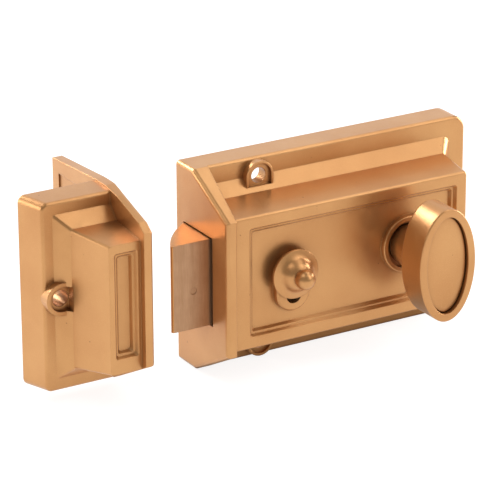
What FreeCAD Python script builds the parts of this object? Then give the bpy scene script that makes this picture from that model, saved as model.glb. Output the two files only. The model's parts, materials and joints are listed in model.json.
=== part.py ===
import FreeCAD, Part
import math
import os

V = FreeCAD.Vector

# Rim night latch and its strike, in millimetres.
#
# Frame: the origin lies on the knob's axis, in the plane of the door's inner face.
# +X runs away from the door's edge, +Y into the door and +Z up, so the case stands
# off the door towards -Y and the bolt shoots towards -X.
# A depth below is a distance in front of the door face, so it is -Y.

# ---- case: a stepped casting, open at the back ----
BACKSET = 60.3            # door's edge, which is the case's left face, to the knob's axis
CASE_LENGTH = 89.3
CASE_HEIGHT = 59.0
AXIS_RISE = 1.0           # the knob's axis above the case's middle height
SHELL = 2.1               # wall of both castings
RIM_DEPTH = 8.8           # depth of the flat margin round the case
RIM_MARGIN = 5.4          # width of that margin
RIM_CORNER = 4.2          # corner radius at the end away from the bolt
RIM_ROUND = 0.9           # rounding of the margin's outer edge
FLARE = 3.5               # run and depth of the 45 degree flare at the box's foot
BOX_DEPTH = 25.25
BOX_DRAFT = 1.3           # how much the box narrows from the flare to its front
BOX_ROUND = 0.7
LIP_DEPTH = 27.5          # the end wall stands a little proud of the box's front
LIP_HALF = 19.6           # half height of the end wall at its front
LIP_THICK = 3.1           # end wall at its front
LIP_DRAFT = 0.10          # end wall's thickening per millimetre towards the door
LIP_ROUND = 1.2
LIP_INNER_ROUND = 0.4
SMALL_CORNER = 1.2        # plan corner where the box meets the end wall
FLARE_CORNER = 2.6
HOLLOW_TAPER = 1.0        # draft of the hollow inside the box

PANEL_LEFT = -51.9        # sunk panel on the case's front
PANEL_RIGHT = 15.4
PANEL_HALF = 15.9
PANEL_STEP = 1.0          # depth of each of its two steps
PANEL_LEDGE = 0.45
PANEL_SLOPE = 0.65        # run of each step's sloping side
FRONT_WALL = 1.7          # both castings' wall behind the panel

LUG_X = -40.3             # screw lugs over and under the box
LUG_Z = 24.6              # from the case's middle height
LUG_R = 4.3
LUG_FRONT = 11.2
LUG_FLOOR = 10.3          # the lug's face is sunk inside a raised lip
LUG_LIP = 0.7
LUG_REACH = 5.0           # the lug's straight part, buried in the flare
LUG_SINK_REACH = 2.8      # the sunk face's straight part, cut a little into the flare
LUG_HOLE_R = 2.25

COLLAR_R = 8.4            # raised ring round the spindle
COLLAR_BORE_R = 7.0
COLLAR_RISE = 1.6
COLLAR_ROUND = 0.45
PAD_R = 5.3               # raised pad round the snib's slot
PAD_RISE = 2.3
PAD_BEVEL = 0.5
PAD_OFFSET = 0.7          # pad's lower end is centred this much higher than the slot's
SLOT_R = 2.3

# ---- back cover and its screws ----
COVER_THICK = 1.6
COVER_LEFT = -57.4
COVER_RIGHT = 16.6
COVER_HALF = 17.3
COVER_CORNER = 1.5
TAILPIECE_HOLE_R = 8.0
POST_X = (-54.0, 13.4)    # posts inside the case that take the cover's screws
POST_Z = 15.3
POST_R = 2.2
SCREW_R = 1.1
SCREW_HEAD_R = 2.2
SCREW_END = 7.5
SCREW_TIP = 8.5
SCREW_SLOT = 0.6
SINK_R = 2.3              # countersink in the cover
SINK_DEPTH = 1.2

# ---- bolt, its tail and its spring ----
BOLT_HEIGHT = 25.2
BOLT_BACK = 4.0           # depth of the bolt's back and front faces
BOLT_FRONT = 18.5
BOLT_THROW = 12.0
BOLT_LENGTH = 26.3        # bolt head from its tip to its tail end
BOLT_NOSE = 0.8           # rounding at the tip
BOLT_BELLY = 1.0          # how far the bevel bulges
SLIDE_GAP = 0.3           # clearance round what slides
FRONT_GAP = 1.0           # clearance over the bolt's front
CHANNEL_GAP = 0.5         # clearance round the snib's finger in the bolt head
CHEEK = 8.0               # length of the bolt's passage through the end wall

PIN_X = -65.7             # small pin seen on the bolt's front
PIN_Z = -2.5
PIN_R = 1.0
PIN_LENGTH = 3.0
PIN_SINK = 0.15

TAIL_LEFT = -56.5
TAIL_LOW = 6.2
TAIL_HIGH = 11.0
TAIL_THICK = 2.0
TAIL_TAB_X = 1.2          # the bent tab, which the cam pushes
TAIL_TAB_THICK = 3.0
TAIL_RIVETS_X = (-53.5, -48.5)
RIVET_R = 0.9
RIVET_HEAD = 0.6
TAIL_RIVET_HEAD_R = 1.5
TAIL_RIVET_SINK = 4.0

SEAT_X = -32.0            # left face of the spring seat
SEAT_THICK = 3.0
SEAT_HALF = 3.6
SEAT_DEPTH = 14.5
SEAT_TANG_R = 1.5
SEAT_TANG_SINK = 0.2
SPRING_Z = -8.5
SPRING_DEPTH = 10.5
SPRING_R = 2.5
SPRING_WIRE_R = 0.35
SPRING_TURNS = 11
SPRING_END_GAP = 0.05
BORE_R = 3.3              # the spring's bore in the bolt head
BORE_LENGTH = 18.0
GUIDE_R = 1.3
GUIDE_LENGTH = 17.0
GUIDE_HEAD = 0.8

# ---- knob, spindle and cam ----
RETRACT_ANGLE = 80.0      # knob's turn that draws the bolt right in
KNOB_HALF_WIDTH = 9.1     # oval knob
KNOB_HALF_HEIGHT = 16.5
KNOB_FRONT = 44.2
KNOB_BACK = 33.8
KNOB_RIM = 2.3
KNOB_DISH = 1.2
KNOB_BACK_ROUND = 1.4
KNOB_FRONT_ROUND = 0.35
KNOB_WEB = 37.9           # depth of the seat that the spindle's end bears on
NECK_FRONT_R = 7.2
NECK_BACK_R = 5.7
NECK_GAP = 0.45           # knob's neck clear of the panel
FACE_THICK = 0.8
FACE_GAP = 0.2
FACE_ROUND = 0.25
KNOB_SCREW_R = 1.9
KNOB_SCREW_CLEAR_R = 2.0
KNOB_SCREW_BACK = 28.0
KNOB_SCREW_SEAT = 39.4
KNOB_SCREW_HEAD_R = 3.6
KNOB_SCREW_HEAD = 2.5
KNOB_SCREW_POCKET_R = 4.3
KNOB_SCREW_SLOT = 1.0
KNOB_SCREW_SLOT_DEPTH = 0.8

SPINDLE_R = 4.0
FIT = 0.05                # radial running clearance of the spindle
SQUARE = 5.6
SQUARE_END = 8.0
SHOULDER = 0.6            # spindle's round part starts this far in front of the cam
GROOVE_R = 3.2
GROOVE_WIDTH = 1.0
CLIP_R = 5.6
CLIP_GAP = 0.05
CLIP_MOUTH = 4.0
CLIP_SETBACK = 1.4        # clip behind the front wall's inner face
BUSH_R = 5.5
BUSH_FLANGE = 0.8
BUSH_FLANGE_R = 7.0

CAM_BACK = 7.0
CAM_FRONT = 11.5
CAM_GAP = 0.2             # cam's flank clear of the tail's tab
CAM_STEPS = 8
HUB_R = 5.4
HUB_BACK = 2.6
HUB_PIN_R = 1.0
HUB_PIN_SINK = 0.2
TAILPIECE_SLOT = (2.2, 8.4, 7.0)      # width, height and depth of the cylinder's tailpiece slot

# ---- snib: button outside, stop plate inside ----
SNIB_X = -38.1
SNIB_Z = -0.5
SNIB_TRAVEL = 6.6
SNIB_DISC_R = 7.1
# (radius, rise) from the disc's thin edge, over the crown, to the ball
SNIB_BELL = [(SNIB_DISC_R, 0.6), (5.9, 0.95), (4.9, 1.5), (4.35, 2.3), (3.5, 3.4), (2.0, 4.15)]
SNIB_BALL_R = 2.85
SNIB_BALL_RISE = 5.4
BUTTON_GAP = 0.5          # button clear of its pad
STEM_R = 1.9
STEM_TENON_R = 1.2
PLATE_GAP = 0.35          # stop plate clear of the front wall
PLATE_OVER_BOLT = 0.6
PLATE_LOW = 3.6           # stop plate's lower edge under the snib's axis
PLATE_RIGHT = -33.5
WASHER_R = 2.6
WASHER_THICK = 0.3
FINGER_GAP = 0.4          # the finger stands just behind the bolt head
FINGER_THICK = 3.0
FINGER_TOP = 4.6          # finger's top edge with the snib up
FINGER_HEIGHT = 4.0
FINGER_DEPTH = 14.2
DETENT_Z = -3.3
NOTCH_R = 0.9
NOTCH_OFFSET = 0.4
NOSE_GAP = 0.3
NOSE_HALF = 1.0
LEAF_X = -24.0
LEAF_HALF = 1.8
LEAF_THICK = 0.6
LEAF_RISE = 2.2
LEAF_LOW = -12.0
LEAF_HIGH = 5.0
LEAF_RIVETS_Z = (-3.5, -9.5)
LEAF_RIVET_OFFSET = 0.2
LEAF_RIVET_HEAD_R = 1.4
LEAF_RIVET_SINK = 0.9

# ---- strike: one casting with a leg that lies along the jamb ----
STRIKE_GAP = 22.2         # strike's end wall from the door's edge, as it stands apart
STRIKE_LENGTH = 26.2
STRIKE_HEIGHT = 55.0
STRIKE_MID = -0.1
STRIKE_WALL = 3.0         # end wall and leg
STRIKE_CORNER = 2.1
STRIKE_DRAFT = 2.7        # the outer end's slope from the jamb to the margin
STRIKE_MARGIN = 3.1       # margin's width at the outer end
STRIKE_MARGIN_TOP = 3.9   # and above and below the box
STRIKE_BOX_DRAFT = 4.5    # slope of the box's outer end
STRIKE_BOX_DRAFT_TOP = 1.6
STRIKE_BOX_CORNER = 0.8
STRIKE_INNER_CORNER = 0.95
STRIKE_RIM_DRAFT = 0.3
NOSE_ROUND = 1.5
WALL_TOP = [(0, 27.9), (6.0, 27.9), (12.5, 26.9), (24.5, 23.2), (LIP_DEPTH, 21.0)]      # (depth, height)
WALL_BOTTOM = [(0, -27.4), (RIM_DEPTH, -27.2), (LIP_DEPTH, -17.4)]
LEG_LENGTH = 25.0
LEG_TAPER = 1.6
LEG_SINK = 0.4            # shallow panel on the leg's outer side
LEG_BAND = 3.6            # border left round that panel
LEG_HOLE_R = 2.2
LEG_HOLE_DEPTH = -14.0
LEG_HOLE_SPACING = 24.0
STRIKE_LUG_OFFSET = 19.2  # lug's hole from the end wall's outer face
STRIKE_LUG_RISE = 0.1
STRIKE_LUG_R = 4.7
STRIKE_LUG_FLOOR = 9.9
STRIKE_LUG_LIP = 1.2
STRIKE_LUG_SINK_REACH = 2.45          # just past the hole
STRIKE_BOSS_R = 3.9                   # boss behind the lug, down to the jamb
STRIKE_HOLE_R = 2.35
STRIKE_PANEL = (10.8, 3.9)            # sunk panel's ends from the end wall's outer face
STRIKE_PANEL_MID = 0.8
STRIKE_PANEL_HALF = 15.2
POCKET_BACK = 3.0                     # depth where the bolt's pocket starts
POCKET_GAP = 1.0
POCKET_FRONT_GAP = 1.2

# ---- places worked out from them ----
LEFT = -BACKSET
RIGHT = LEFT + CASE_LENGTH
MID = -AXIS_RISE
CASE_HALF = CASE_HEIGHT / 2
FOOT_HALF = CASE_HALF - RIM_MARGIN
BOX_BACK = RIM_DEPTH + FLARE
PANEL_FLOOR = BOX_DEPTH - 2 * PANEL_STEP
CAVITY_DEPTH = PANEL_FLOOR - FRONT_WALL
PAD_FRONT = PANEL_FLOOR + PAD_RISE
COVER_POSTS = [(x, MID + side * POST_Z) for x in POST_X for side in (-1, 1)]
BOLT_TIP = LEFT - BOLT_THROW
BOLT_TAIL = BOLT_TIP + BOLT_LENGTH
BOLT_HALF = BOLT_HEIGHT / 2
BORE_END = BOLT_TAIL - BORE_LENGTH
TAIL_FRONT = BOLT_BACK + TAIL_THICK
TAIL_MID = (TAIL_LOW + TAIL_HIGH) / 2
CLIP_DEPTH = CAVITY_DEPTH - CLIP_SETBACK
HUB_PIN_DEPTH = (SQUARE_END + CAM_FRONT) / 2
FINGER_X = BOLT_TAIL + FINGER_GAP
FINGER_LOW = FINGER_TOP - FINGER_HEIGHT
PLATE_FRONT = CAVITY_DEPTH - PLATE_GAP
PLATE_BACK = BOLT_FRONT + PLATE_OVER_BOLT
BUTTON_BACK = PAD_FRONT + BUTTON_GAP
LEAF_RIVET_X = LEAF_X + LEAF_RIVET_OFFSET
STRIKE_RIGHT = LEFT - STRIKE_GAP
STRIKE_LEFT = STRIKE_RIGHT - STRIKE_LENGTH
STRIKE_HALF = STRIKE_HEIGHT / 2
STRIKE_LUG_X = STRIKE_RIGHT - STRIKE_LUG_OFFSET
STRIKE_LUG_Z = STRIKE_MID + STRIKE_LUG_RISE

OVER = 1.0                # how far a cutter runs past the face that it opens
TOUCH = 0.5               # how far a fused piece is buried in its neighbour
NEAR_ZERO = 1e-6


# ---- helpers ----
def block(x0, x1, near, far, z0, z1):
    """A box from depth near to depth far; a negative depth lies behind the door face."""
    return Part.makeBox(x1 - x0, far - near, z1 - z0, V(x0, -far, z0))


def post(x, z, radius, near, far):
    """A cylinder along Y from depth near to depth far."""
    return Part.makeCylinder(radius, far - near, V(x, -far, z), V(0, 1, 0))


def rod(x0, x1, depth, z, radius):
    """A cylinder along X."""
    return Part.makeCylinder(radius, x1 - x0, V(x0, -depth, z), V(1, 0, 0))


def turned(profile, x, z):
    """A solid of revolution about a line along Y, from (radius, depth) points."""
    wire = Part.makePolygon([V(x + radius, -depth, z) for radius, depth in profile + profile[:1]])
    return Part.Face(wire).revolve(V(x, 0, z), V(0, 1, 0), 360)


def rivet(x, z, head_back, head_radius, head_front, end):
    """A rivet along Y whose head lies on the door's side."""
    profile = [(0, head_back), (head_radius, head_back), (head_radius, head_front),
               (RIVET_R, head_front), (RIVET_R, end), (0, end)]
    return turned(profile, x, z)


def obround(x, z0, z1, radius, near, far):
    """An upright slot shape with round ends centred on z0 and z1."""
    middle = block(x - radius, x + radius, near, far, z0, z1)
    return middle.fuse([post(x, z0, radius, near, far), post(x, z1, radius, near, far)]).removeSplitter()


def outline(x0, x1, z0, z1, depth, r_left, r_right):
    """A rounded rectangle facing the viewer, with its own radius at each end."""
    corners = [(x0 + r_left, z0 + r_left, r_left, 180), (x1 - r_right, z0 + r_right, r_right, 270),
               (x1 - r_right, z1 - r_right, r_right, 0), (x0 + r_left, z1 - r_left, r_left, 90)]
    arcs = []
    for x, z, radius, start in corners:
        turns = [math.radians(start + part) for part in (0, 45, 90)]
        arcs.append([V(x + radius * math.cos(a), -depth, z + radius * math.sin(a)) for a in turns])
    edges = []
    for arc, following in zip(arcs, arcs[1:] + arcs[:1]):
        edges.append(Part.Arc(*arc).toShape())
        edges.append(Part.makeLine(arc[2], following[0]))
    return Part.Wire(edges)


def loft(*wires):
    return Part.makeLoft(list(wires), True, True)


def upright(points, x0, x1):
    """A prism along X from (depth, z) points."""
    wire = Part.makePolygon([V(x0, -depth, z) for depth, z in points + points[:1]])
    return Part.Face(wire).extrude(V(x1 - x0, 0, 0))


def edges_at(shape, test):
    return [edge for edge in shape.Edges if all(test(vertex.Point) for vertex in edge.Vertexes)]


def edges_at_depth(shape, depth):
    return edges_at(shape, lambda p: abs(p.y + depth) < NEAR_ZERO)


def recess(x0, x1, z0, z1, front):
    """The cutter for a two-step panel, whose steps have sloping sides."""
    steps = []
    inset = 0.0
    depth = front
    for _ in range(2):
        out = inset - PANEL_SLOPE
        into = inset + PANEL_SLOPE
        outer = outline(x0 + out, x1 - out, z0 + out, z1 - out, depth + PANEL_STEP, 1.0, 1.0)
        inner = outline(x0 + into, x1 - into, z0 + into, z1 - into, depth - PANEL_STEP, 0.6, 0.6)
        steps.append(loft(outer, inner))
        inset = into + PANEL_LEDGE
        depth -= PANEL_STEP
    return steps[0].fuse(steps[1])


def lug(x, z, radius, near, far, reach_x, reach_z):
    """A half-round pad whose straight part runs along X or Z by the reach given."""
    if reach_x:
        root = block(x, x + reach_x, near, far, z - radius, z + radius)
        head_side = block(x - radius, x, near, far, z - radius, z + radius)
    else:
        z0, z1 = sorted((z, z + reach_z))
        head0, head1 = sorted((z, z - math.copysign(radius, reach_z)))
        root = block(x - radius, x + radius, near, far, z0, z1)
        head_side = block(x - radius, x + radius, near, far, head0, head1)
    return post(x, z, radius, near, far).common(head_side).fuse(root).removeSplitter()


# ---- case ----
def case_outside():
    foot_right = RIGHT - RIM_MARGIN
    joint = LEFT + SHELL
    low, high = MID - CASE_HALF, MID + CASE_HALF
    rim = loft(outline(joint, RIGHT, low, high, 0, SMALL_CORNER, RIM_CORNER),
               outline(joint, RIGHT, low, high, RIM_DEPTH, SMALL_CORNER, RIM_CORNER))
    rim = rim.makeFillet(RIM_ROUND, edges_at_depth(rim, RIM_DEPTH))
    half_back = FOOT_HALF - FLARE
    half_front = half_back - BOX_DRAFT
    box_foot = outline(joint, foot_right - FLARE, MID - half_back, MID + half_back, BOX_BACK,
                       SMALL_CORNER, SMALL_CORNER)
    flare = loft(outline(joint, foot_right + OVER, MID - FOOT_HALF - OVER, MID + FOOT_HALF + OVER,
                         RIM_DEPTH - OVER, SMALL_CORNER, FLARE_CORNER), box_foot)
    box = loft(box_foot, outline(joint, foot_right - FLARE - BOX_DRAFT, MID - half_front, MID + half_front,
                                 BOX_DEPTH, SMALL_CORNER, SMALL_CORNER))
    box = box.makeFillet(BOX_ROUND, edges_at_depth(box, BOX_DEPTH))
    return rim.fuse([flare, box, end_wall()])


def end_wall():
    """The full-height wall at the bolt's end, thinner towards its front."""
    profile = [(0, CASE_HALF), (RIM_DEPTH, CASE_HALF), (LIP_DEPTH, LIP_HALF),
               (LIP_DEPTH, -LIP_HALF), (RIM_DEPTH, -CASE_HALF), (0, -CASE_HALF)]
    outer = [V(LEFT, -depth, MID + z) for depth, z in profile]
    back = [V(LEFT + LIP_THICK + LIP_DRAFT * (LIP_DEPTH - depth), -depth, MID + z) for depth, z in profile]
    wall = loft(Part.makePolygon(outer + outer[:1]), Part.makePolygon(back + back[:1]))
    rounded = [edge for edge in edges_at(wall, lambda p: abs(p.x - LEFT) < NEAR_ZERO)
               if abs(edge.CenterOfMass.y) > NEAR_ZERO]
    wall = wall.makeFillet(LIP_ROUND, rounded)
    inner = edges_at(wall, lambda p: abs(p.y + LIP_DEPTH) < NEAR_ZERO and p.x > LEFT + LIP_THICK / 2)
    return wall.makeFillet(LIP_INNER_ROUND, inner)


def case_hollow():
    left = LEFT + SHELL + TOUCH
    right = RIGHT - SHELL
    half = CASE_HALF - SHELL
    rim_front = RIM_DEPTH - SHELL
    flare_front = BOX_BACK - 1.5
    run = flare_front - rim_front
    foot = FOOT_HALF - 1.3
    foot_right = RIGHT - RIM_MARGIN - 1.0
    narrow = foot - run
    narrow_right = foot_right - run
    end = HOLLOW_TAPER
    waist = outline(left, narrow_right, MID - narrow, MID + narrow, flare_front, 0.5, 1.0)
    rim = loft(outline(left, right, MID - half, MID + half, -OVER, 0.5, 2.4),
               outline(left, right, MID - half, MID + half, rim_front, 0.5, 2.4))
    flare = loft(outline(left, foot_right, MID - foot, MID + foot, rim_front, 0.5, 1.0), waist)
    box = loft(waist, outline(left, narrow_right - end, MID - narrow + end, MID + narrow - end, CAVITY_DEPTH,
                              0.5, 1.0))
    return rim.fuse([flare, box])


def spindle_collar():
    front = PANEL_FLOOR + COLLAR_RISE
    ring = post(0, 0, COLLAR_R, PANEL_FLOOR - TOUCH, front)
    ring = ring.makeFillet(COLLAR_ROUND, edges_at_depth(ring, front))
    return ring.cut(post(0, 0, COLLAR_BORE_R, PANEL_FLOOR, front + OVER))


def case_shell():
    shell = case_outside().cut(case_hollow())
    adds = [post(x, z, POST_R, COVER_THICK, CAVITY_DEPTH + TOUCH) for x, z in COVER_POSTS]
    for side in (-1, 1):
        adds.append(lug(LUG_X, MID + side * LUG_Z, LUG_R, RIM_DEPTH - SHELL, LUG_FRONT, 0, -side * LUG_REACH))
    shell = shell.fuse(adds)
    shell = shell.cut(recess(PANEL_LEFT, PANEL_RIGHT, MID - PANEL_HALF, MID + PANEL_HALF, BOX_DEPTH))
    slot_low = SNIB_Z - SNIB_TRAVEL
    pad = obround(SNIB_X, slot_low + PAD_OFFSET, SNIB_Z, PAD_R, PANEL_FLOOR - TOUCH, PAD_FRONT)
    pad = pad.makeChamfer(PAD_BEVEL, edges_at_depth(pad, PAD_FRONT))
    shell = shell.fuse([pad, spindle_collar()])
    cuts = [obround(SNIB_X, slot_low, SNIB_Z, SLOT_R, CAVITY_DEPTH - OVER, PAD_FRONT + OVER),
            post(0, 0, BUSH_R, CAVITY_DEPTH - OVER, PANEL_FLOOR + OVER),
            block(LEFT - OVER, LEFT + CHEEK, BOLT_BACK - SLIDE_GAP, BOLT_FRONT + FRONT_GAP,
                  MID - BOLT_HALF - SLIDE_GAP, MID + BOLT_HALF + SLIDE_GAP)]
    for side in (-1, 1):
        z = MID + side * LUG_Z
        cuts.append(post(LUG_X, z, LUG_HOLE_R, 0, LUG_FRONT + OVER))
        cuts.append(lug(LUG_X, z, LUG_R - LUG_LIP, LUG_FLOOR, LUG_FRONT + OVER, 0, -side * LUG_SINK_REACH))
    for x, z in COVER_POSTS:
        cuts.append(post(x, z, SCREW_R, COVER_THICK - OVER, SCREW_TIP + OVER))
    for z in LEAF_RIVETS_Z:
        cuts.append(post(LEAF_RIVET_X, z, RIVET_R, CAVITY_DEPTH - OVER, CAVITY_DEPTH + LEAF_RIVET_SINK))
    return shell.cut(cuts).removeSplitter()


# ---- back cover, its screws, and what it carries ----
def back_cover():
    low, high = MID - COVER_HALF, MID + COVER_HALF
    plate = loft(outline(COVER_LEFT, COVER_RIGHT, low, high, 0, COVER_CORNER, COVER_CORNER),
                 outline(COVER_LEFT, COVER_RIGHT, low, high, COVER_THICK, COVER_CORNER, COVER_CORNER))
    holes = [post(0, 0, TAILPIECE_HOLE_R, -OVER, COVER_THICK + OVER),
             post(SEAT_X + SEAT_THICK / 2, SPRING_Z, SEAT_TANG_R, -OVER, COVER_THICK + OVER)]
    sink = [(0, -OVER), (SINK_R, -OVER), (SINK_R, 0), (SCREW_R, SINK_DEPTH), (SCREW_R, COVER_THICK + OVER),
            (0, COVER_THICK + OVER)]
    for x, z in COVER_POSTS:
        holes.append(turned(sink, x, z))
    return plate.cut(holes)


def cover_screws():
    start = 0.1
    profile = [(0, start), (SCREW_HEAD_R, start), (SCREW_R, SINK_DEPTH), (SCREW_R, SCREW_END), (0, SCREW_TIP)]
    half = SCREW_SLOT / 2
    screws = []
    for x, z in COVER_POSTS:
        slot = block(x - SCREW_HEAD_R, x + SCREW_HEAD_R, -OVER, SCREW_SLOT, z - half, z + half)
        screws.append(turned(profile, x, z).cut(slot))
    return Part.makeCompound(screws)


def spring_seat():
    """A post riveted through the back cover, which the bolt's spring pushes against."""
    right = SEAT_X + SEAT_THICK
    body = block(SEAT_X, right, COVER_THICK, SEAT_DEPTH, SPRING_Z - SEAT_HALF, SPRING_Z + SEAT_HALF)
    tang = post(SEAT_X + SEAT_THICK / 2, SPRING_Z, SEAT_TANG_R, SEAT_TANG_SINK, COVER_THICK + SEAT_TANG_SINK)
    return body.fuse(tang).cut(rod(SEAT_X - OVER, right + OVER, SPRING_DEPTH, SPRING_Z, GUIDE_R))


def spring_guide():
    right = SEAT_X + SEAT_THICK
    stem = rod(SEAT_X - GUIDE_LENGTH, right, SPRING_DEPTH, SPRING_Z, GUIDE_R)
    return stem.fuse(rod(right, right + GUIDE_HEAD, SPRING_DEPTH, SPRING_Z, GUIDE_R + GUIDE_HEAD))


def bolt_spring():
    """A helix of round wire between the bore's end and the spring seat."""
    x0 = BORE_END + SPRING_WIRE_R + SPRING_END_GAP
    x1 = SEAT_X - SPRING_WIRE_R - SPRING_END_GAP
    helix = Part.makeLongHelix((x1 - x0) / SPRING_TURNS, x1 - x0, SPRING_R)
    first = helix.Edges[0]
    section = Part.makeCircle(SPRING_WIRE_R, first.valueAt(first.FirstParameter),
                              first.tangentAt(first.FirstParameter))
    coil = Part.Wire(helix.Edges).makePipeShell([Part.Wire(section)], True, True)
    coil.rotate(V(0, 0, 0), V(0, 1, 0), 90)
    coil.translate(V(x0, -SPRING_DEPTH, SPRING_Z))
    return coil


# ---- bolt ----
def bolt_profile():
    """The bolt head's outline in plan: a bulging bevel on the door-frame side and a small nose."""
    back = V(LEFT, -BOLT_BACK, 0)
    tip = V(BOLT_TIP, -(BOLT_FRONT - BOLT_NOSE), 0)
    front = V(BOLT_TIP + BOLT_NOSE, -BOLT_FRONT, 0)
    belly = V((LEFT + BOLT_TIP) / 2 - BOLT_BELLY, -(BOLT_BACK + BOLT_FRONT) / 2 + BOLT_BELLY, 0)
    nose = V(BOLT_TIP + BOLT_NOSE / 4, -(BOLT_FRONT - BOLT_NOSE / 4), 0)
    far = [front, V(BOLT_TAIL, -BOLT_FRONT, 0), V(BOLT_TAIL, -BOLT_BACK, 0), back]
    edges = [Part.Arc(back, belly, tip).toShape(), Part.Arc(tip, nose, front).toShape()]
    edges += [Part.makeLine(far[i], far[i + 1]) for i in range(3)]
    return Part.Face(Part.Wire(edges))


def latch_bolt():
    face = bolt_profile()
    face.translate(V(0, 0, MID - BOLT_HALF))
    head = face.extrude(V(0, 0, BOLT_HEIGHT))
    gap = CHANNEL_GAP
    start = FINGER_X - BOLT_THROW - gap
    front = BOLT_FRONT + OVER
    channel = block(start, BOLT_TAIL + OVER, FINGER_DEPTH - gap, front, FINGER_LOW - gap, FINGER_TOP + gap)
    hold_back = block(start, start + FINGER_THICK + 2 * gap, FINGER_DEPTH - gap, front,
                      FINGER_LOW - SNIB_TRAVEL - gap, FINGER_LOW)
    cuts = [channel, hold_back, rod(BORE_END, BOLT_TAIL + OVER, SPRING_DEPTH, SPRING_Z, BORE_R),
            block(TAIL_LEFT, BOLT_TAIL + OVER, BOLT_BACK - OVER, TAIL_FRONT, TAIL_LOW, TAIL_HIGH),
            post(PIN_X, PIN_Z, PIN_R, BOLT_FRONT - PIN_LENGTH, front)]
    for x in TAIL_RIVETS_X:
        cuts.append(post(x, TAIL_MID, RIVET_R, BOLT_BACK, TAIL_FRONT + TAIL_RIVET_SINK))
    return head.cut(cuts)


def bolt_pin():
    return post(PIN_X, PIN_Z, PIN_R, BOLT_FRONT - PIN_LENGTH, BOLT_FRONT - PIN_SINK)


def bolt_tail():
    """A steel strip from the bolt head to the cam, with its end bent up as a tab."""
    end = TAIL_TAB_X + TAIL_TAB_THICK
    strip = block(TAIL_LEFT, end, BOLT_BACK, TAIL_FRONT, TAIL_LOW, TAIL_HIGH)
    tab = block(TAIL_TAB_X, end, BOLT_BACK, CAM_FRONT + TOUCH, TAIL_LOW, TAIL_HIGH)
    holes = [post(x, TAIL_MID, RIVET_R, BOLT_BACK - OVER, TAIL_FRONT + OVER) for x in TAIL_RIVETS_X]
    return strip.fuse(tab).cut(holes).removeSplitter()


def tail_rivets():
    back = BOLT_BACK - RIVET_HEAD
    end = TAIL_FRONT + TAIL_RIVET_SINK
    return Part.makeCompound([rivet(x, TAIL_MID, back, TAIL_RIVET_HEAD_R, BOLT_BACK, end)
                              for x in TAIL_RIVETS_X])


# ---- knob, spindle and cam ----
def oval(inset, near, far):
    top = V(0, -near, KNOB_HALF_HEIGHT - inset)
    side = V(KNOB_HALF_WIDTH - inset, -near, 0)
    ellipse = Part.Ellipse(top, side, V(0, -near, 0))
    return Part.Face(Part.Wire(ellipse.toShape())).extrude(V(0, near - far, 0))


def knob():
    body = oval(0, KNOB_BACK, KNOB_FRONT)
    body = body.makeFillet(KNOB_BACK_ROUND, edges_at_depth(body, KNOB_BACK))
    body = body.makeFillet(KNOB_FRONT_ROUND, edges_at_depth(body, KNOB_FRONT))
    neck_front = KNOB_BACK + KNOB_BACK_ROUND + TOUCH
    neck_back = PANEL_FLOOR + NECK_GAP
    neck = Part.makeCone(NECK_FRONT_R, NECK_BACK_R, neck_front - neck_back, V(0, -neck_front, 0), V(0, 1, 0))
    cuts = [oval(KNOB_RIM, KNOB_FRONT - KNOB_DISH - FACE_THICK, KNOB_FRONT + OVER),
            post(0, 0, KNOB_SCREW_POCKET_R, KNOB_SCREW_SEAT, KNOB_FRONT),
            post(0, 0, SPINDLE_R, neck_back - OVER, KNOB_WEB),
            post(0, 0, KNOB_SCREW_CLEAR_R, KNOB_BACK, KNOB_FRONT)]
    return body.fuse(neck).cut(cuts)


def knob_face_disc():
    far = KNOB_FRONT - KNOB_DISH
    disc = oval(KNOB_RIM + FACE_GAP, far - FACE_THICK, far)
    return disc.makeFillet(FACE_ROUND, edges_at_depth(disc, far))


def knob_screw():
    top = KNOB_SCREW_SEAT + KNOB_SCREW_HEAD
    half = KNOB_SCREW_SLOT / 2
    head = post(0, 0, KNOB_SCREW_HEAD_R, KNOB_SCREW_SEAT, top)
    head = head.cut(block(-KNOB_SCREW_HEAD_R, KNOB_SCREW_HEAD_R, top - KNOB_SCREW_SLOT_DEPTH, top + OVER,
                          -half, half))
    return head.fuse(post(0, 0, KNOB_SCREW_R, KNOB_SCREW_BACK, KNOB_SCREW_SEAT))


def knob_spindle():
    shoulder = CAM_FRONT + SHOULDER
    shaft = post(0, 0, SPINDLE_R, shoulder, KNOB_WEB)
    square = block(-SQUARE / 2, SQUARE / 2, SQUARE_END, shoulder, -SQUARE / 2, SQUARE / 2)
    groove = post(0, 0, SPINDLE_R + OVER, CLIP_DEPTH - GROOVE_WIDTH, CLIP_DEPTH)
    groove = groove.cut(post(0, 0, GROOVE_R, shoulder, KNOB_WEB))
    screw_hole = post(0, 0, KNOB_SCREW_R, KNOB_SCREW_BACK - TOUCH, KNOB_WEB + OVER)
    return shaft.fuse(square).cut([groove, screw_hole, hub_pin_hole()])


def spindle_clip():
    near = CLIP_DEPTH - GROOVE_WIDTH + CLIP_GAP
    far = CLIP_DEPTH - CLIP_GAP
    ring = post(0, 0, CLIP_R, near, far).cut(post(0, 0, GROOVE_R, near - OVER, far + OVER))
    return ring.cut(block(-CLIP_MOUTH / 2, CLIP_MOUTH / 2, near - OVER, far + OVER, -CLIP_R - OVER, 0))


def knob_bush():
    back = CAVITY_DEPTH - BUSH_FLANGE
    sleeve = post(0, 0, BUSH_R, CAVITY_DEPTH, PANEL_FLOOR)
    flange = post(0, 0, BUSH_FLANGE_R, back, CAVITY_DEPTH)
    return sleeve.fuse(flange).cut(post(0, 0, SPINDLE_R + FIT, back - OVER, PANEL_FLOOR + OVER))


def hub_pin_hole():
    return rod(-HUB_R - OVER, HUB_R + OVER, HUB_PIN_DEPTH, 0, HUB_PIN_R)


def cam_pin():
    return rod(HUB_PIN_SINK - HUB_R, HUB_R - HUB_PIN_SINK, HUB_PIN_DEPTH, 0, HUB_PIN_R)


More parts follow.
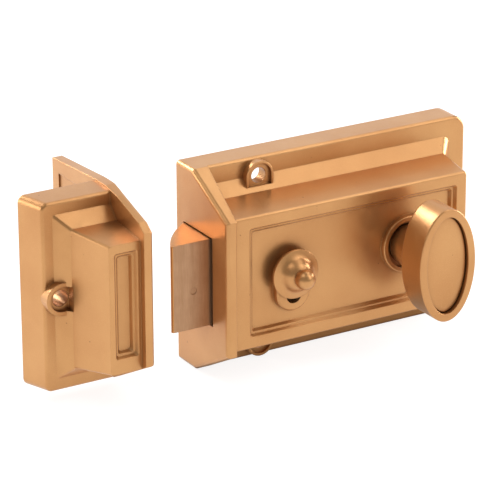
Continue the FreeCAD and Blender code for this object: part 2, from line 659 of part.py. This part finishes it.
def cam_flank():
    """An involute, so the flat tab moves in proportion to the knob's turn; heel end first."""
    base = BOLT_THROW / math.radians(RETRACT_ANGLE)
    at_rest = (TAIL_TAB_X - CAM_GAP) / base
    first = at_rest / 2
    last = at_rest + math.radians(RETRACT_ANGLE)
    points = []
    for step in range(CAM_STEPS + 1):
        roll = first + (last - first) * step / CAM_STEPS
        turn = at_rest - roll
        points.append(V(base * (math.sin(turn) + roll * math.cos(turn)), -CAM_BACK,
                        base * (math.cos(turn) - roll * math.sin(turn))))
    return points


def retractor_cam():
    """A hub with an involute arm."""
    flank = cam_flank()
    curve = Part.BSplineCurve()
    curve.interpolate(flank)
    tip = flank[-1]
    corners = [tip, tip + V(-2.2, 0, -1.0), V(-HUB_R * 0.95, -CAM_BACK, 0.5), V(HUB_R * 0.2, -CAM_BACK, 0.5),
               flank[0]]
    lines = [Part.makeLine(corners[i], corners[i + 1]) for i in range(4)]
    arm = Part.Face(Part.Wire([curve.toShape()] + lines)).extrude(V(0, CAM_BACK - CAM_FRONT, 0))
    hub = post(0, 0, HUB_R, HUB_BACK, CAM_FRONT)
    square = block(-SQUARE / 2, SQUARE / 2, SQUARE_END, CAM_FRONT + OVER, -SQUARE / 2, SQUARE / 2)
    width, height, depth = TAILPIECE_SLOT
    slot = block(-width / 2, width / 2, HUB_BACK - OVER, depth, -height / 2, height / 2)
    return hub.fuse(arm).cut([square, slot, hub_pin_hole()])


# ---- snib ----
def snib_button():
    """A thin-edged disc that rises as a bell into a ball."""
    points = [V(SNIB_X + radius, -BUTTON_BACK - rise, SNIB_Z) for radius, rise in SNIB_BELL]
    curve = Part.BSplineCurve()
    curve.interpolate(points)
    foot = V(SNIB_X, -BUTTON_BACK, SNIB_Z)
    corners = [V(SNIB_X, points[-1].y, SNIB_Z), foot, V(SNIB_X + SNIB_DISC_R, -BUTTON_BACK, SNIB_Z)]
    edges = [Part.makeLine(points[-1], corners[0]), Part.makeLine(corners[0], corners[1]),
             Part.makeLine(corners[1], corners[2]), Part.makeLine(corners[2], points[0]), curve.toShape()]
    body = Part.Face(Part.Wire(edges)).revolve(V(SNIB_X, 0, SNIB_Z), V(0, 1, 0), 360)
    return body.fuse(Part.makeSphere(SNIB_BALL_R, V(SNIB_X, -BUTTON_BACK - SNIB_BALL_RISE, SNIB_Z)))


def snib_stem():
    neck = post(SNIB_X, SNIB_Z, STEM_R, PLATE_FRONT, BUTTON_BACK)
    return neck.fuse(post(SNIB_X, SNIB_Z, STEM_TENON_R, PLATE_BACK - WASHER_THICK, PLATE_FRONT))


def snib_stop_plate():
    """A plate inside the front wall, with a finger bent back behind the bolt head."""
    plate = block(FINGER_X, PLATE_RIGHT, PLATE_BACK, PLATE_FRONT, SNIB_Z - PLATE_LOW, FINGER_TOP)
    finger = block(FINGER_X, FINGER_X + FINGER_THICK, FINGER_DEPTH, PLATE_FRONT, FINGER_LOW, FINGER_TOP)
    cuts = [post(PLATE_RIGHT + NOTCH_OFFSET, z, NOTCH_R, PLATE_BACK - OVER, PLATE_FRONT + OVER)
            for z in (DETENT_Z, DETENT_Z + SNIB_TRAVEL)]
    cuts.append(post(SNIB_X, SNIB_Z, STEM_TENON_R, PLATE_BACK - OVER, PLATE_FRONT + OVER))
    return plate.fuse(finger).cut(cuts)


def snib_washer():
    near = PLATE_BACK - WASHER_THICK
    return post(SNIB_X, SNIB_Z, WASHER_R, near, PLATE_BACK).cut(
        post(SNIB_X, SNIB_Z, STEM_TENON_R, near - OVER, PLATE_BACK + OVER))


def detent_spring():
    """A leaf riveted inside the front wall, whose nose bears on the stop plate's notched edge."""
    left = LEAF_X - LEAF_HALF
    back = CAVITY_DEPTH - LEAF_RISE
    foot = block(left, LEAF_X + LEAF_HALF, CAVITY_DEPTH - LEAF_THICK, CAVITY_DEPTH, LEAF_LOW, LEAF_HIGH)
    arm = block(left, left + LEAF_THICK, back, CAVITY_DEPTH, LEAF_LOW, LEAF_HIGH)
    nose = block(PLATE_RIGHT + NOSE_GAP, left + LEAF_THICK, back, back + LEAF_THICK,
                 DETENT_Z - NOSE_HALF, DETENT_Z + NOSE_HALF)
    holes = [post(LEAF_RIVET_X, z, RIVET_R, back, CAVITY_DEPTH + OVER) for z in LEAF_RIVETS_Z]
    return foot.fuse([arm, nose]).removeSplitter().cut(holes)


def detent_rivets():
    foot = CAVITY_DEPTH - LEAF_THICK
    return Part.makeCompound([rivet(LEAF_RIVET_X, z, foot - RIVET_HEAD, LEAF_RIVET_HEAD_R, foot,
                                    CAVITY_DEPTH + LEAF_RIVET_SINK) for z in LEAF_RIVETS_Z])


# ---- strike ----
def strike_skin(inset):
    """The strike's stepped form, or its hollow when inset by the wall."""
    right = STRIKE_RIGHT - STRIKE_WALL + (0 if inset else OVER)
    left = STRIKE_LEFT + inset
    half = STRIKE_HALF - inset
    corner = max(STRIKE_CORNER - inset, TOUCH)
    inner = STRIKE_INNER_CORNER
    rim_front = RIM_DEPTH - inset
    flare_front = BOX_BACK - 0.6 * inset
    box_front = CAVITY_DEPTH if inset else BOX_DEPTH
    run = flare_front - rim_front
    foot = left + STRIKE_DRAFT + STRIKE_MARGIN
    foot_half = half - STRIKE_MARGIN_TOP
    waist_half = foot_half - run
    front_half = waist_half - STRIKE_BOX_DRAFT_TOP
    rim_half = half - STRIKE_RIM_DRAFT
    rim_back = -OVER if inset else 0
    rim = loft(outline(left, right, STRIKE_MID - half, STRIKE_MID + half, rim_back, corner, inner),
               outline(left + STRIKE_DRAFT, right, STRIKE_MID - rim_half, STRIKE_MID + rim_half, rim_front,
                       corner, inner))
    if not inset:
        rim = rim.makeFillet(RIM_ROUND, edges_at_depth(rim, rim_front))
    waist = outline(foot + run, right, STRIKE_MID - waist_half, STRIKE_MID + waist_half, flare_front,
                    STRIKE_BOX_CORNER, inner)
    flare = loft(outline(foot - OVER, right, STRIKE_MID - foot_half - OVER, STRIKE_MID + foot_half + OVER,
                         rim_front - OVER, STRIKE_BOX_CORNER, inner), waist)
    box = loft(waist, outline(foot + run + STRIKE_BOX_DRAFT, right, STRIKE_MID - front_half,
                              STRIKE_MID + front_half, box_front, STRIKE_BOX_CORNER, inner))
    return rim.fuse([flare, box])


def strike_wall():
    """The end wall that the bolt rides over, in one piece with the leg behind it."""
    left = STRIKE_RIGHT - STRIKE_WALL
    leg_top = WALL_TOP[0][1] - LEG_TAPER
    leg_bottom = WALL_BOTTOM[0][1] + LEG_TAPER
    points = [(-LEG_LENGTH, leg_top)] + WALL_TOP + WALL_BOTTOM[::-1] + [(-LEG_LENGTH, leg_bottom)]
    wall = upright(points, left, STRIKE_RIGHT)
    nose = edges_at(wall, lambda p: abs(p.x - STRIKE_RIGHT) < NEAR_ZERO and p.y < TOUCH - RIM_DEPTH)
    wall = wall.makeFillet(NOSE_ROUND, nose)
    panel = block(left - OVER, left + LEG_SINK, LEG_BAND - LEG_LENGTH, 0,
                  leg_bottom + LEG_BAND, leg_top - LEG_BAND)
    return wall.cut(panel)


def strike_case():
    x, z = STRIKE_LUG_X, STRIKE_LUG_Z
    wall_left, wall_right = STRIKE_RIGHT - STRIKE_WALL - OVER, STRIKE_RIGHT + OVER
    pocket_half = BOLT_HALF + POCKET_GAP
    shell = strike_skin(0).cut(strike_skin(SHELL))
    shell = shell.fuse([strike_wall(), post(x, z, STRIKE_BOSS_R, 0, RIM_DEPTH),
                        lug(x, z, STRIKE_LUG_R, RIM_DEPTH - SHELL, LUG_FRONT, LUG_REACH, 0)])
    left, right = STRIKE_PANEL
    shell = shell.cut(recess(STRIKE_RIGHT - left, STRIKE_RIGHT - right, STRIKE_PANEL_MID - STRIKE_PANEL_HALF,
                             STRIKE_PANEL_MID + STRIKE_PANEL_HALF, BOX_DEPTH))
    cuts = [block(wall_left, wall_right, POCKET_BACK, BOLT_FRONT + POCKET_FRONT_GAP,
                  MID - pocket_half, MID + pocket_half),
            lug(x, z, STRIKE_LUG_R - STRIKE_LUG_LIP, STRIKE_LUG_FLOOR, BOX_BACK + OVER,
                STRIKE_LUG_SINK_REACH, 0),
            post(x, z, STRIKE_HOLE_R, -OVER, LUG_FRONT + OVER)]
    for side in (-1, 1):
        hole_z = STRIKE_MID + side * LEG_HOLE_SPACING / 2
        cuts.append(rod(wall_left, wall_right, LEG_HOLE_DEPTH, hole_z, LEG_HOLE_R))
    return shell.cut(cuts).removeSplitter()


PARTS = (case_shell, back_cover, cover_screws, spring_seat, spring_guide, bolt_spring, detent_spring,
         detent_rivets, knob_bush, knob, knob_face_disc, knob_screw, knob_spindle, spindle_clip,
         retractor_cam, cam_pin, latch_bolt, bolt_pin, bolt_tail, tail_rivets, snib_button, snib_stem,
         snib_stop_plate, snib_washer, strike_case)

os.makedirs("parts", exist_ok=True)
for make in PARTS:
    make().exportStep("parts/" + make.__name__ + ".step")
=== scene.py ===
import json
import math

import bpy
from mathutils import Matrix, Vector

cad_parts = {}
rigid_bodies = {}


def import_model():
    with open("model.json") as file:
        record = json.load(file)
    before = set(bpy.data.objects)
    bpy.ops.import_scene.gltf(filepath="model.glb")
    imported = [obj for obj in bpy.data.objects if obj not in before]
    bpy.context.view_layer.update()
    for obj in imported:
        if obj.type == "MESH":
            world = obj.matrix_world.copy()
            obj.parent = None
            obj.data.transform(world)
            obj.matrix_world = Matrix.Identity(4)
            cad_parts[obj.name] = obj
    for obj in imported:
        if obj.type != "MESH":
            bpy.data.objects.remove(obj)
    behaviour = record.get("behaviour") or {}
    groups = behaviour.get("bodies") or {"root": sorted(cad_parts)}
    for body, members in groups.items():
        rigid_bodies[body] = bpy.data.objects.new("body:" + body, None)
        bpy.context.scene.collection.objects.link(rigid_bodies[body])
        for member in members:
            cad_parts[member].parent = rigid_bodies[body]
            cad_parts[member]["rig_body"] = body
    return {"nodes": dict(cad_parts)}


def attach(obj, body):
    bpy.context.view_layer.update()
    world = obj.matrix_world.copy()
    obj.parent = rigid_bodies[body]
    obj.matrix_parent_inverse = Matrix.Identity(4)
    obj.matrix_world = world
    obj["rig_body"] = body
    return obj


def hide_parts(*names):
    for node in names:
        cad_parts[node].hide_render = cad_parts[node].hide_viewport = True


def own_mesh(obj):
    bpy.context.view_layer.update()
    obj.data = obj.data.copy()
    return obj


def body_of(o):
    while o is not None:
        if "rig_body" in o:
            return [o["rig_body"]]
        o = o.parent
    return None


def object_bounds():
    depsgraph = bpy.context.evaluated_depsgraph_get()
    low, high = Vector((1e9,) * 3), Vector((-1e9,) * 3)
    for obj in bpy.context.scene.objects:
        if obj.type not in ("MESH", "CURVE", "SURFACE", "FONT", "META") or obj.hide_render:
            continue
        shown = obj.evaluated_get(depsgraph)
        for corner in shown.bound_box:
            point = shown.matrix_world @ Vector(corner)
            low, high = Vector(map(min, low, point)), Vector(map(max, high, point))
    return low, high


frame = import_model()
CAD_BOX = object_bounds()
NODES = frame["nodes"]
MM = 0.001

# ---- finishes, as linear colours ----
GOLD = (0.58, 0.280, 0.096)
GOLD_DEEP = (0.40, 0.150, 0.040)
GOLD_PALE = (0.80, 0.455, 0.190)
GOLD_SHADE = (0.22, 0.085, 0.020)
BARE_BOLT = (0.40, 0.215, 0.110)
BARE_BOLT_PALE = (0.54, 0.320, 0.180)
ZINC = (0.52, 0.53, 0.53)
ZINC_DULL = (0.34, 0.35, 0.36)
STEEL = (0.42, 0.43, 0.45)
STEEL_DARK = (0.20, 0.21, 0.22)
BRASS = (0.66, 0.45, 0.18)
BRASS_DULL = (0.42, 0.27, 0.10)
GOLD_SPECK = (0.16, 0.055, 0.015)
METAL_SHADE_TONE = (0.03, 0.025, 0.02)
GOLD_METALLIC = 0.78
BOLT_METALLIC = 0.8
GOLD_COAT = 0.3
COAT_ROUGHNESS = 0.30
GOLD_EDGE = 0.4 * MM       # how far each finish looks rounded over at an edge
BOLT_EDGE = 0.25 * MM
METAL_EDGE = 0.15 * MM
GOLD_CORNER = 1.6 * MM     # how far the painted shade reaches out from a corner
GOLD_HOLLOW = 7.0 * MM     # how far the soft shade of a hollow reaches
METAL_CORNER = 1.5 * MM    # how far the painted shade reaches out from a corner on bare metal
SHADER_SAMPLES = 6         # rays that a bevel or corner node sends out

# ---- how much of each effect shows ----
CLOUD_SHARE = 0.26
FLAKE_SHARE = 0.22
# the next two set how much painted shade shows in corners and hollows
CORNER_SHARE = 0.85
HOLLOW_SHARE = 0.45
SPECK_SHARE = 0.6
DULL_SHARE = 0.4
METAL_SHADE_SHARE = 0.6
BLOTCH_SHARE = 0.35

# ---- grain: noise scale and detail ----
CLOUD = (38, 4.0)
FLAKE = (5200, 1.0)
SPECK = (700, 1.0)
PEEL = (850, 2.0)
SWEEP = (120, 3.0)
GLOSS = (300, 3.0)
METAL_CLOUD = (90, 3.0)
BOLT_BLOTCH = (260, 4.0)
BOLT_STREAK = (420, 5.0, 0.75, (1, 1, 0.08))   # with roughness, and stretched along the bolt's height

# ---- bumps: depth and strength ----
SWEEP_BUMP = (0.12 * MM, 0.35)
PEEL_BUMP = (0.03 * MM, 0.5)
STREAK_BUMP = (0.02 * MM, 0.4)

# ---- lights, in watts, and the studio ----
WHITE = (1.0, 1.0, 1.0, 1.0)
WORLD_STRENGTH = 0.33
FLOOR_GLOW = 0.86
FLOOR_TONE = 0.30
FLOOR_ROUGHNESS = 0.9
FLOOR_HALF = 3.0           # half the floor's width
FLOOR_FRONT = -2.0
FLOOR_FLAT_END = 1.0       # where it starts to bend up
FLOOR_BEND = 1.2           # radius of the bend
FLOOR_TOP = 4.0
FLOOR_STEPS = 12           # flat faces in the bend
CARD = (-60, 29, -26, 4)   # the shade card's left, right, front and back, in mm
CARD_LIFT = 0.1 * MM
# the card's faint warm glow and dark tone make up its painted shadow
CARD_LIGHT = (1.0, 0.9, 0.8, 1.0)
CARD_GLOW = 0.28
CARD_TONE = (0.035, 0.025, 0.020)
CARD_TONE_PALE = (0.050, 0.038, 0.030)
LIGHT_DISTANCE = 1.0
LIGHT_CENTRE = Vector((-0.03, -0.01, 0.0))
SOFTBOXES = {              # azimuth and elevation seen from the latch, size in metres, and power
    "upper_right": (47, 57, 0.45, 1.1),
    "front_right": (38, 32, 0.60, 2.0),
    "right": (90, 12, 0.50, 7.5),
    "right_overhead": (108, 60, 0.45, 1.1),
    "left": (-122, 8, 0.50, 3.4),
    "left_overhead": (-80, 62, 0.50, 1.2),
    "back_left": (-158, 30, 0.40, 4.9),
}

# ---- camera ----
AZIMUTH = -30.48
ELEVATION = 21.45
ROLL = -0.21
DISTANCE = 0.8456
LENS = 220.16
AIM = Vector((-0.04247, -0.00929, 0.00164))
SENSOR = 36.0
NEAR = 0.05
FAR = 20.0


class Finish:
    """A node material under construction, with short calls for the nodes that it uses."""

    def __init__(self, name):
        self.material = bpy.data.materials.new(name)
        self.material.use_nodes = True
        self.tree = self.material.node_tree
        self.shader = self.tree.nodes["Principled BSDF"]
        self.coords = self.node("ShaderNodeTexCoord").outputs["Object"]

    def node(self, kind, **settings):
        made = self.tree.nodes.new(kind)
        for key, value in settings.items():
            setattr(made, key, value)
        return made

    def feed(self, socket, source):
        if isinstance(source, bpy.types.NodeSocket):
            self.tree.links.new(source, socket)
        else:
            socket.default_value = source

    def noise(self, scale, detail=3.0, roughness=0.55, stretch=(1, 1, 1)):
        mapping = self.node("ShaderNodeMapping")
        mapping.inputs["Scale"].default_value = stretch
        self.feed(mapping.inputs["Vector"], self.coords)
        texture = self.node("ShaderNodeTexNoise")
        texture.inputs["Scale"].default_value = scale
        texture.inputs["Detail"].default_value = detail
        texture.inputs["Roughness"].default_value = roughness
        self.feed(texture.inputs["Vector"], mapping.outputs["Vector"])
        return texture.outputs["Fac"]

    def ramp(self, value, low, high, from_low=0.0, from_high=1.0):
        made = self.node("ShaderNodeMapRange", clamp=True)
        self.feed(made.inputs["Value"], value)
        made.inputs["From Min"].default_value = from_low
        made.inputs["From Max"].default_value = from_high
        made.inputs["To Min"].default_value = low
        made.inputs["To Max"].default_value = high
        return made.outputs["Result"]

    def math(self, operation, first, second):
        made = self.node("ShaderNodeMath", operation=operation)
        self.feed(made.inputs[0], first)
        self.feed(made.inputs[1], second)
        return made.outputs[0]

    def mix(self, factor, first, second):
        made = self.node("ShaderNodeMix", data_type="RGBA")
        self.feed(made.inputs["Factor"], factor)
        for socket, value in ((made.inputs["A"], first), (made.inputs["B"], second)):
            self.feed(socket, value if isinstance(value, bpy.types.NodeSocket) else (*value, 1.0))
        colours = [socket for socket in made.outputs if socket.type == "RGBA"]
        return colours[0]

    def crevice(self, distance, low=0.25, high=0.85):
        """1 deep in a corner, 0 in the open."""
        shade = self.node("ShaderNodeAmbientOcclusion", samples=SHADER_SAMPLES)
        shade.inputs["Distance"].default_value = distance
        return self.ramp(shade.outputs["AO"], 1.0, 0.0, low, high)

    def finish(self, colour, roughness, metallic, bumps, edge=0.0, coat=0.0):
        self.feed(self.shader.inputs["Base Color"], colour)
        self.feed(self.shader.inputs["Roughness"], roughness)
        self.shader.inputs["Metallic"].default_value = metallic
        self.shader.inputs["Coat Weight"].default_value = coat
        self.shader.inputs["Coat Roughness"].default_value = COAT_ROUGHNESS
        normal = None
        if edge:
            rounding = self.node("ShaderNodeBevel", samples=SHADER_SAMPLES)
            rounding.inputs["Radius"].default_value = edge
            normal = rounding.outputs["Normal"]
        for height, distance, strength in bumps:
            bump = self.node("ShaderNodeBump")
            bump.inputs["Distance"].default_value = distance
            bump.inputs["Strength"].default_value = strength
            self.feed(bump.inputs["Height"], height)
            if normal is not None:
                self.feed(bump.inputs["Normal"], normal)
            normal = bump.outputs["Normal"]
        if normal is not None:
            self.feed(self.shader.inputs["Normal"], normal)
        return self.material


def gold_colour(f):
    """Sprayed metallic paint: cloudy, with pale flakes and a few dark specks, and painted shade in its
    corners and hollows.
    """
    tone = f.mix(f.ramp(f.noise(*CLOUD), 0.0, 1.0, 0.32, 0.68), GOLD_DEEP, GOLD_PALE)
    tone = f.mix(CLOUD_SHARE, GOLD, tone)
    tone = f.mix(f.ramp(f.noise(*FLAKE), 0.0, FLAKE_SHARE, 0.55, 0.75), tone, GOLD_PALE)
    # painted shade: corners and hollows are mixed towards the dark shade tone
    corner_shade = f.crevice(GOLD_CORNER, 0.35, 0.80)
    tone = f.mix(f.math("MULTIPLY", corner_shade, CORNER_SHARE), tone, GOLD_SHADE)
    hollow = f.crevice(GOLD_HOLLOW, 0.30, 0.90)
    tone = f.mix(f.math("MULTIPLY", hollow, HOLLOW_SHARE), tone, GOLD_SHADE)
    specks = f.ramp(f.noise(*SPECK), 0.0, SPECK_SHARE, 0.80, 0.815)
    return f.mix(specks, tone, GOLD_SPECK)


def gold_paint(name):
    """The paint of the castings, the knob and the snib."""
    f = Finish(name)
    roughness = f.ramp(f.noise(*GLOSS), 0.30, 0.39, 0.3, 0.7)
    bumps = [(f.noise(*SWEEP), *SWEEP_BUMP), (f.noise(*PEEL), *PEEL_BUMP)]
    return f.finish(gold_colour(f), roughness, GOLD_METALLIC, bumps, edge=GOLD_EDGE, coat=GOLD_COAT)


def metal(name, colour, dull, grain, low, high):
    """A plain metal between two tones, with painted shade in its corners, and roughness from low to high.
    """
    f = Finish(name)
    streak = f.noise(grain, 4.0, 0.7)
    cloud = f.ramp(f.noise(*METAL_CLOUD), 0.0, 1.0, 0.35, 0.65)
    tone = f.mix(f.ramp(streak, 0.0, 1.0, 0.3, 0.7), dull, colour)
    tone = f.mix(f.math("MULTIPLY", cloud, DULL_SHARE), tone, dull)
    # painted shade: corners darken towards a near-black tone
    tone = f.mix(f.math("MULTIPLY", f.crevice(METAL_CORNER), METAL_SHADE_SHARE), tone, METAL_SHADE_TONE)
    roughness = f.ramp(streak, low, high, 0.3, 0.7)
    return f.finish(tone, roughness, 1.0, [(streak, *STREAK_BUMP)], edge=METAL_EDGE)


def bolt_metal(name):
    """Bare, rubbed metal on the bolt's front, and the case's paint on its other faces."""
    f = Finish(name)
    streak = f.noise(*BOLT_STREAK)
    blotch = f.ramp(f.noise(*BOLT_BLOTCH), 0.0, 1.0, 0.4, 0.6)
    bare = f.mix(f.ramp(streak, 0.0, 1.0, 0.35, 0.65), BARE_BOLT, BARE_BOLT_PALE)
    bare = f.mix(f.math("MULTIPLY", blotch, BLOTCH_SHARE), bare, BARE_BOLT)
    facing = f.node("ShaderNodeSeparateXYZ")
    f.feed(facing.inputs[0], f.node("ShaderNodeNewGeometry").outputs["True Normal"])
    front = f.ramp(facing.outputs["Y"], 1.0, 0.0, -0.98, -0.90)
    tone = f.mix(front, gold_colour(f), bare)
    roughness = f.math("ADD", f.ramp(streak, 0.30, 0.42, 0.3, 0.7), f.math("MULTIPLY", front, 0.04))
    return f.finish(tone, roughness, BOLT_METALLIC, [(streak, *STREAK_BUMP)], edge=BOLT_EDGE)


FINISHES = {
    "gold": gold_paint("gold_paint"),
    "bolt": bolt_metal("bolt_metal"),
    "zinc": metal("zinc_steel", ZINC, ZINC_DULL, 350, 0.30, 0.48),
    "spring": metal("spring_steel", STEEL, STEEL_DARK, 900, 0.22, 0.36),
    "brass": metal("brass", BRASS, BRASS_DULL, 500, 0.25, 0.40),
}
WEARS = {
    "gold": ("case_shell", "knob", "knob_face_disc", "snib_button", "strike_case"),
    "bolt": ("latch_bolt", "bolt_pin"),
    "spring": ("bolt_spring", "detent_spring", "spindle_clip"),
    "brass": ("knob_bush", "snib_stem"),
    "zinc": ("back_cover", "cover_screws", "spring_seat", "spring_guide", "detent_rivets", "knob_screw",
             "knob_spindle", "retractor_cam", "cam_pin", "bolt_tail", "tail_rivets", "snib_stop_plate",
             "snib_washer"),
}


def paint():
    for finish, names in WEARS.items():
        for name in names:
            for slot in NODES[name].material_slots:
                slot.material = FINISHES[finish]


def coil():
    """A copy of the bolt's spring with its own mesh, attached to the spring's body, while the original
    part is hidden.
    """
    node = NODES["bolt_spring"]
    made = bpy.data.objects.new("bolt_spring_coil", node.data.copy())
    made.matrix_world = node.matrix_world.copy()
    bpy.context.scene.collection.objects.link(made)
    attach(made, body_of(node)[0])
    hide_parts("bolt_spring")
    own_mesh(made)


# ---- studio ----
def floor():
    """A pale floor that curves up into a pale wall far behind."""
    low = CAD_BOX[0][2]
    profile = [(FLOOR_FRONT, 0.0), (FLOOR_FLAT_END, 0.0)]
    for step in range(1, FLOOR_STEPS + 1):
        angle = math.radians(90 * step / FLOOR_STEPS)
        along = FLOOR_FLAT_END + FLOOR_BEND * math.sin(angle)
        profile.append((along, FLOOR_BEND * (1 - math.cos(angle))))
    profile.append((FLOOR_FLAT_END + FLOOR_BEND, FLOOR_TOP))
    vertices = [(x, y, low + z) for y, z in profile for x in (-FLOOR_HALF, FLOOR_HALF)]
    faces = [(2 * i, 2 * i + 1, 2 * i + 3, 2 * i + 2) for i in range(len(profile) - 1)]
    mesh = bpy.data.meshes.new("studio_floor")
    mesh.from_pydata(vertices, [], faces)
    for polygon in mesh.polygons:
        polygon.use_smooth = True
    made = bpy.data.objects.new("studio_floor", mesh)
    bpy.context.scene.collection.objects.link(made)
    f = Finish("studio_floor")
    tone = f.mix(f.noise(6, 2.0), 3 * (0.97 * FLOOR_TONE,), 3 * (1.03 * FLOOR_TONE,))
    f.shader.inputs["Emission Color"].default_value = WHITE
    f.shader.inputs["Emission Strength"].default_value = FLOOR_GLOW
    mesh.materials.append(f.finish(tone, FLOOR_ROUGHNESS, 0.0, []))


def shade_card():
    """A dim, faintly glowing card on the floor under the case, a painted shadow that only reflections
    see: the lower edges mirror it instead of the floor's glow.
    """
    left, right, front, back = (value * MM for value in CARD)
    height = CAD_BOX[0][2] + CARD_LIFT
    corners = [(left, front, height), (right, front, height), (right, back, height), (left, back, height)]
    mesh = bpy.data.meshes.new("shade_card")
    mesh.from_pydata(corners, [], [(0, 1, 2, 3)])
    made = bpy.data.objects.new("shade_card", mesh)
    made.visible_camera = False
    made.visible_diffuse = False
    made.visible_shadow = False
    bpy.context.scene.collection.objects.link(made)
    f = Finish("shade_card")
    tone = f.mix(f.noise(40, 2.0), CARD_TONE, CARD_TONE_PALE)
    f.shader.inputs["Emission Color"].default_value = CARD_LIGHT
    f.shader.inputs["Emission Strength"].default_value = CARD_GLOW
    mesh.materials.append(f.finish(tone, FLOOR_ROUGHNESS, 0.0, []))


def softbox(name, azimuth, elevation, size, power):
    """A square light that faces the latch."""
    turn, lift = math.radians(azimuth), math.radians(elevation)
    towards = Vector((math.sin(turn) * math.cos(lift), -math.cos(turn) * math.cos(lift), math.sin(lift)))
    light = bpy.data.lights.new(name, "AREA")
    light.size = size
    light.energy = power
    made = bpy.data.objects.new(name, light)
    made.location = LIGHT_CENTRE + LIGHT_DISTANCE * towards
    made.rotation_euler = (-towards).to_track_quat("-Z", "Y").to_euler()
    bpy.context.scene.collection.objects.link(made)


def studio():
    world = bpy.data.worlds.new("studio")
    world.use_nodes = True
    sky = world.node_tree.nodes["Background"]
    sky.inputs["Color"].default_value = WHITE
    sky.inputs["Strength"].default_value = WORLD_STRENGTH
    bpy.context.scene.world = world
    bpy.context.scene.view_settings.view_transform = "Standard"
    for name, settings in SOFTBOXES.items():
        softbox(name, *settings)


def camera():
    """A long lens that looks at AIM."""
    azimuth = math.radians(AZIMUTH)
    elevation = math.radians(ELEVATION)
    back = Vector((math.sin(azimuth) * math.cos(elevation), -math.cos(azimuth) * math.cos(elevation),
                   math.sin(elevation)))
    right = Vector((0, 0, 1)).cross(back).normalized()
    up = back.cross(right)
    turn = Matrix((right, up, back)).transposed() @ Matrix.Rotation(math.radians(ROLL), 3, "Z")
    data = bpy.data.cameras.new("camera")
    data.lens = LENS
    data.sensor_width = SENSOR
    data.clip_start = NEAR
    data.clip_end = FAR
    made = bpy.data.objects.new("camera", data)
    made.matrix_world = Matrix.Translation(AIM + DISTANCE * back) @ turn.to_4x4()
    bpy.context.scene.collection.objects.link(made)
    bpy.context.scene.camera = made


paint()
coil()
floor()
shade_card()
studio()
camera()
